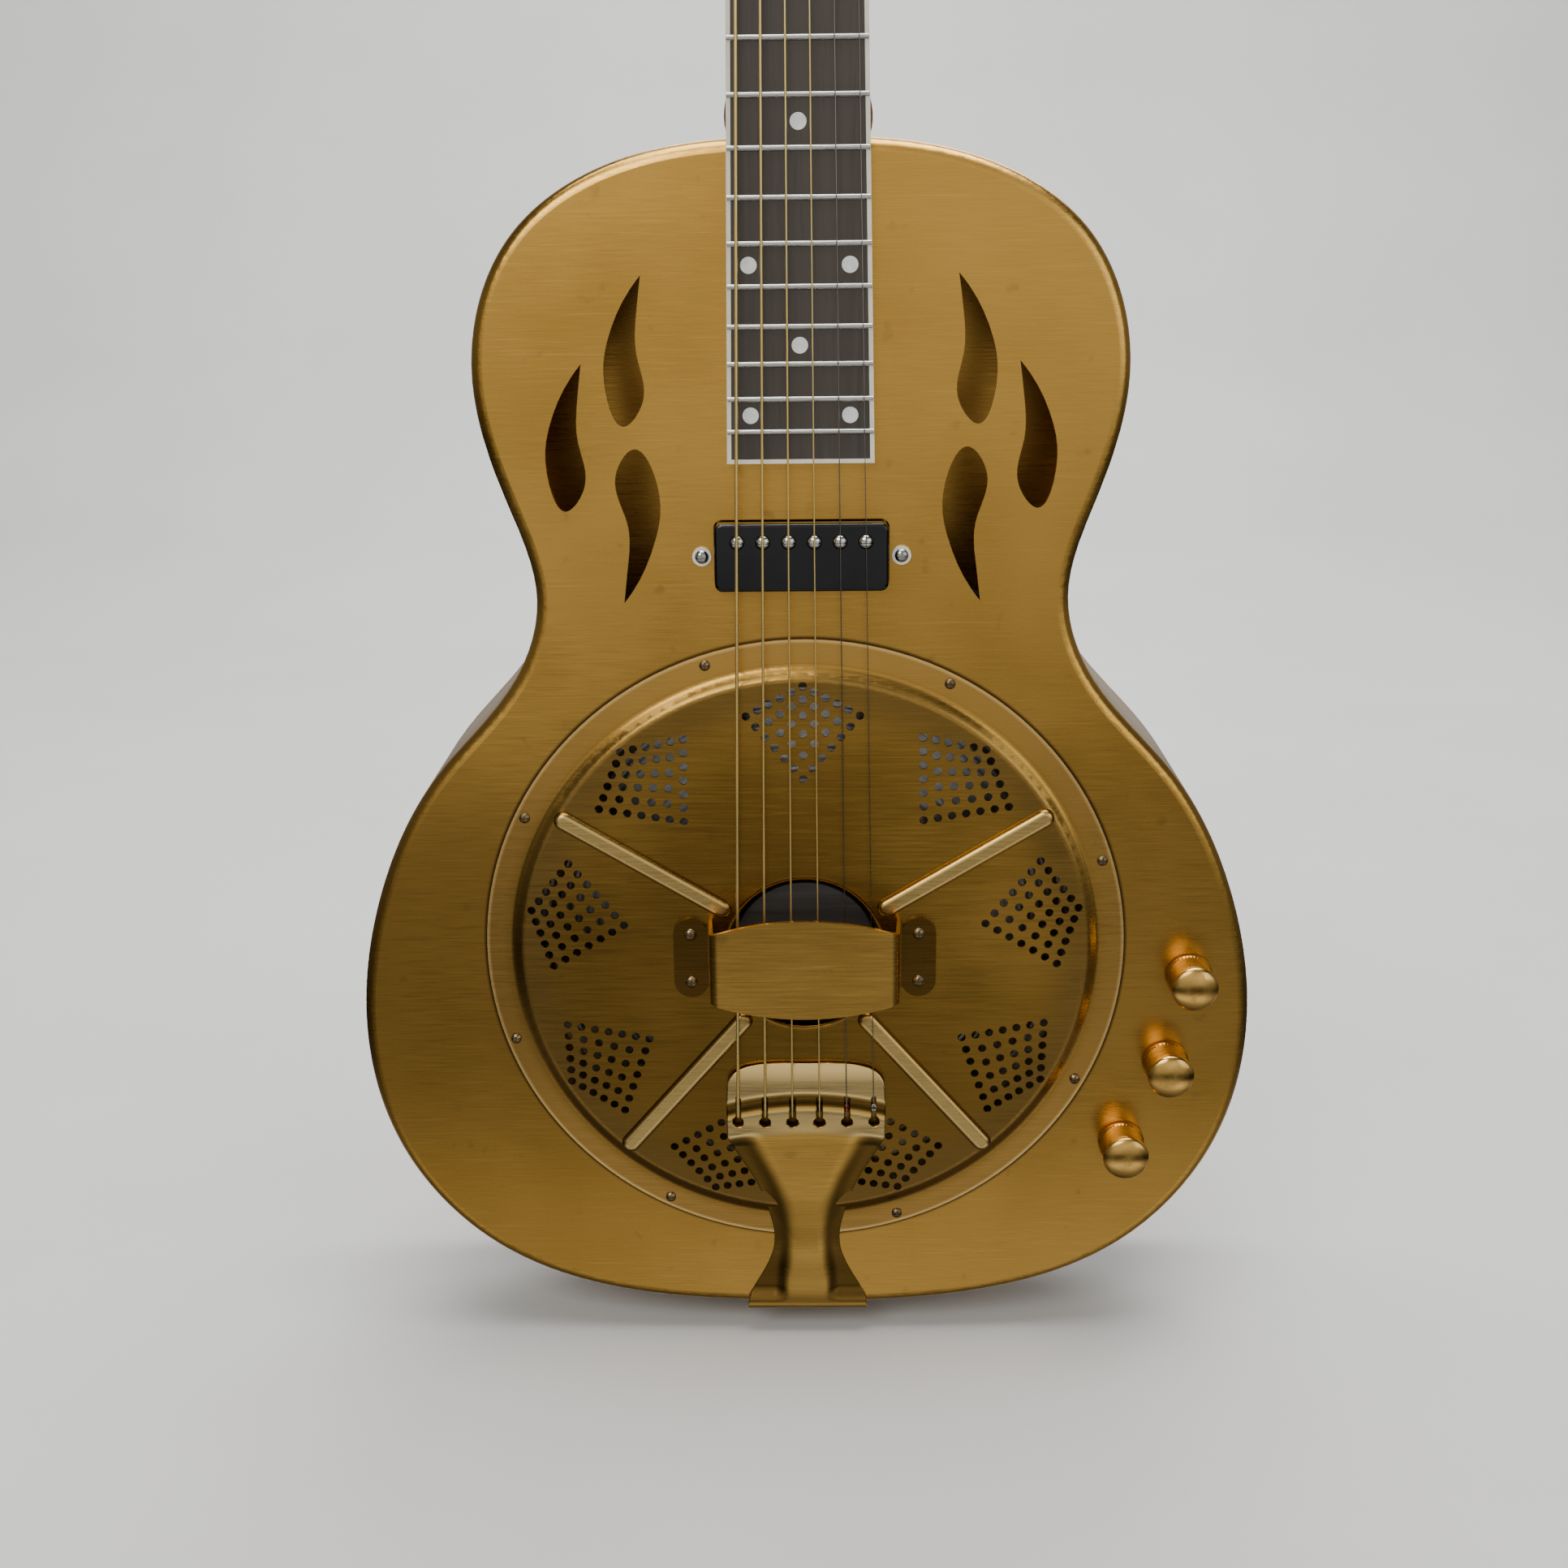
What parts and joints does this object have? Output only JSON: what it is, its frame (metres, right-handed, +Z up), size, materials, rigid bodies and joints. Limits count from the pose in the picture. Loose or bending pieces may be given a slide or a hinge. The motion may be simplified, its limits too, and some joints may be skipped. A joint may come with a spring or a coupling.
{
  "type": "resonator guitar",
  "caption": "Metal-body single-cone resonator guitar with perforated coverplate, hand rest, stamped tailpiece, flame sound holes, pickup and knobs.",
  "frame": {"origin": "middle of the strap button's neck at the tail, on the body's centre line and at half its depth", "axes": "+Z up the neck to the headstock, -Y out of the front (coverplate side), +X the treble side"},
  "size_m": [0.3869, 0.109, 0.9801],
  "materials": {
    "brass_body": "aged satin brass, brushed across the width",
    "brass_inner": "dull unpolished brass",
    "spun_aluminium": "spun aluminium, fine rings",
    "dark_biscuit": "dark stained hardwood",
    "maple_saddle": "oiled maple",
    "steel_screw": "plain steel",
    "brass_cover": "aged satin brass with pressed ribs",
    "aged_screw": "aged nickel-brass screw heads",
    "brass_hardware": "brushed aged brass",
    "neck_wood": "satin stained mahogany",
    "fretboard_wood": "dark oiled rosewood",
    "cream_binding": "cream celluloid",
    "fret_wire": "nickel silver, polished crowns",
    "pearl": "mother-of-pearl look",
    "bone_nut": "bone",
    "ball_brass": "string ball ends in mixed colours",
    "nickel_cover": "polished nickel",
    "black_bobbin": "black bobbin",
    "nickel_pole": "nickel plated screw heads",
    "white_collar": "white plastic",
    "pot_case": "zinc plated steel",
    "wire_jacket": "black insulation",
    "jack_metal": "nickel plated steel",
    "tuner_nickel": "polished nickel",
    "knob_nickel": "knurled nickel, domed top",
    "plain_string": "plain steel wire",
    "wound_string": "bronze wound wire"
  },
  "bodies": {
    "guitar": {"body_top": "brass_body", "body_sides": "brass_body", "body_back": "brass_body", "soundwell": "brass_inner", "resonator_cone": "spun_aluminium", "biscuit": "dark_biscuit", "saddle": "maple_saddle", "biscuit_screw": "steel_screw", "coverplate": "brass_cover", "coverplate_screws": "aged_screw", "handrest": "brass_hardware", "handrest_screws": "aged_screw", "tailpiece": "brass_hardware", "tailpiece_screws": "aged_screw", "strap_button": "brass_hardware", "neck": "neck_wood", "neck_stick": "neck_wood", "truss_rod": "steel_screw", "fretboard": "fretboard_wood", "fretboard_binding": "cream_binding", "frets": "fret_wire", "position_dots": "pearl", "nut": "bone_nut", "string_1": "plain_string", "string_2": "plain_string", "string_3": "wound_string", "string_4": "wound_string", "string_5": "wound_string", "string_6": "wound_string", "ball_ends": "ball_brass", "pickup_cover": "nickel_cover", "pickup_coil": "black_bobbin", "pickup_poles": "nickel_pole", "pickup_screws": "steel_screw", "pickup_collars": "white_collar", "potentiometers": "pot_case", "wiring": "wire_jacket", "jack_socket": "jack_metal", "jack_plate": "brass_hardware", "jack_plate_screws": "aged_screw", "tuner_housings": "tuner_nickel", "tuner_bushings": "tuner_nickel"},
    "volume_knob": {"knob_volume": "knob_nickel", "pot_shaft_volume": "jack_metal"},
    "tone_knob": {"knob_tone": "knob_nickel", "pot_shaft_tone": "jack_metal"},
    "blend_knob": {"knob_blend": "knob_nickel", "pot_shaft_blend": "jack_metal"},
    "button_1": {"tuner_button_1": "tuner_nickel"},
    "post_1": {"tuner_post_1": "tuner_nickel"},
    "button_2": {"tuner_button_2": "tuner_nickel"},
    "post_2": {"tuner_post_2": "tuner_nickel"},
    "button_3": {"tuner_button_3": "tuner_nickel"},
    "post_3": {"tuner_post_3": "tuner_nickel"},
    "button_4": {"tuner_button_4": "tuner_nickel"},
    "post_4": {"tuner_post_4": "tuner_nickel"},
    "button_5": {"tuner_button_5": "tuner_nickel"},
    "post_5": {"tuner_post_5": "tuner_nickel"},
    "button_6": {"tuner_button_6": "tuner_nickel"},
    "post_6": {"tuner_post_6": "tuner_nickel"}
  },
  "joints": [
    {"name": "volume_turn", "type": "hinge", "parent": "guitar", "child": "volume_knob", "pos_m": [0.1638, -0.042, 0.1665], "axis": [0, -1, 0], "range_deg": [-150, 150]},
    {"name": "tone_turn", "type": "hinge", "parent": "guitar", "child": "tone_knob", "pos_m": [0.1556, -0.042, 0.1263], "axis": [0, -1, 0], "range_deg": [-150, 150]},
    {"name": "blend_turn", "type": "hinge", "parent": "guitar", "child": "blend_knob", "pos_m": [0.138, -0.042, 0.088], "axis": [0, -1, 0], "range_deg": [-150, 150]},
    {"name": "button_1_turn", "type": "hinge", "parent": "guitar", "child": "button_1", "pos_m": [0.03, -0.01123, 0.86916], "axis": [1, 0, 0], "continuous": true},
    {"name": "post_1_turn", "type": "hinge", "parent": "guitar", "child": "post_1", "pos_m": [0.024, -0.033, 0.86598], "axis": [0, -0.9744, 0.225], "continuous": true},
    {"name": "button_2_turn", "type": "hinge", "parent": "guitar", "child": "button_2", "pos_m": [0.03, -0.00268, 0.90618], "axis": [1, 0, 0], "continuous": true},
    {"name": "post_2_turn", "type": "hinge", "parent": "guitar", "child": "post_2", "pos_m": [0.024, -0.02445, 0.903], "axis": [0, -0.9744, 0.225], "continuous": true},
    {"name": "button_3_turn", "type": "hinge", "parent": "guitar", "child": "button_3", "pos_m": [0.03, 0.00587, 0.94321], "axis": [1, 0, 0], "continuous": true},
    {"name": "post_3_turn", "type": "hinge", "parent": "guitar", "child": "post_3", "pos_m": [0.024, -0.01591, 0.94003], "axis": [0, -0.9744, 0.225], "continuous": true},
    {"name": "button_4_turn", "type": "hinge", "parent": "guitar", "child": "button_4", "pos_m": [-0.03, 0.00587, 0.94321], "axis": [1, 0, 0], "continuous": true},
    {"name": "post_4_turn", "type": "hinge", "parent": "guitar", "child": "post_4", "pos_m": [-0.024, -0.01591, 0.94003], "axis": [0, -0.9744, 0.225], "continuous": true},
    {"name": "button_5_turn", "type": "hinge", "parent": "guitar", "child": "button_5", "pos_m": [-0.03, -0.00268, 0.90618], "axis": [1, 0, 0], "continuous": true},
    {"name": "post_5_turn", "type": "hinge", "parent": "guitar", "child": "post_5", "pos_m": [-0.024, -0.02445, 0.903], "axis": [0, -0.9744, 0.225], "continuous": true},
    {"name": "button_6_turn", "type": "hinge", "parent": "guitar", "child": "button_6", "pos_m": [-0.03, -0.01123, 0.86916], "axis": [1, 0, 0], "continuous": true},
    {"name": "post_6_turn", "type": "hinge", "parent": "guitar", "child": "post_6", "pos_m": [-0.024, -0.033, 0.86598], "axis": [0, -0.9744, 0.225], "continuous": true}
  ],
  "couplings": [
    {"joint": "post_1_turn", "follows": "button_1_turn", "ratio": 0.071429},
    {"joint": "post_2_turn", "follows": "button_2_turn", "ratio": 0.071429},
    {"joint": "post_3_turn", "follows": "button_3_turn", "ratio": 0.071429},
    {"joint": "post_4_turn", "follows": "button_4_turn", "ratio": -0.071429},
    {"joint": "post_5_turn", "follows": "button_5_turn", "ratio": -0.071429},
    {"joint": "post_6_turn", "follows": "button_6_turn", "ratio": -0.071429}
  ]
}
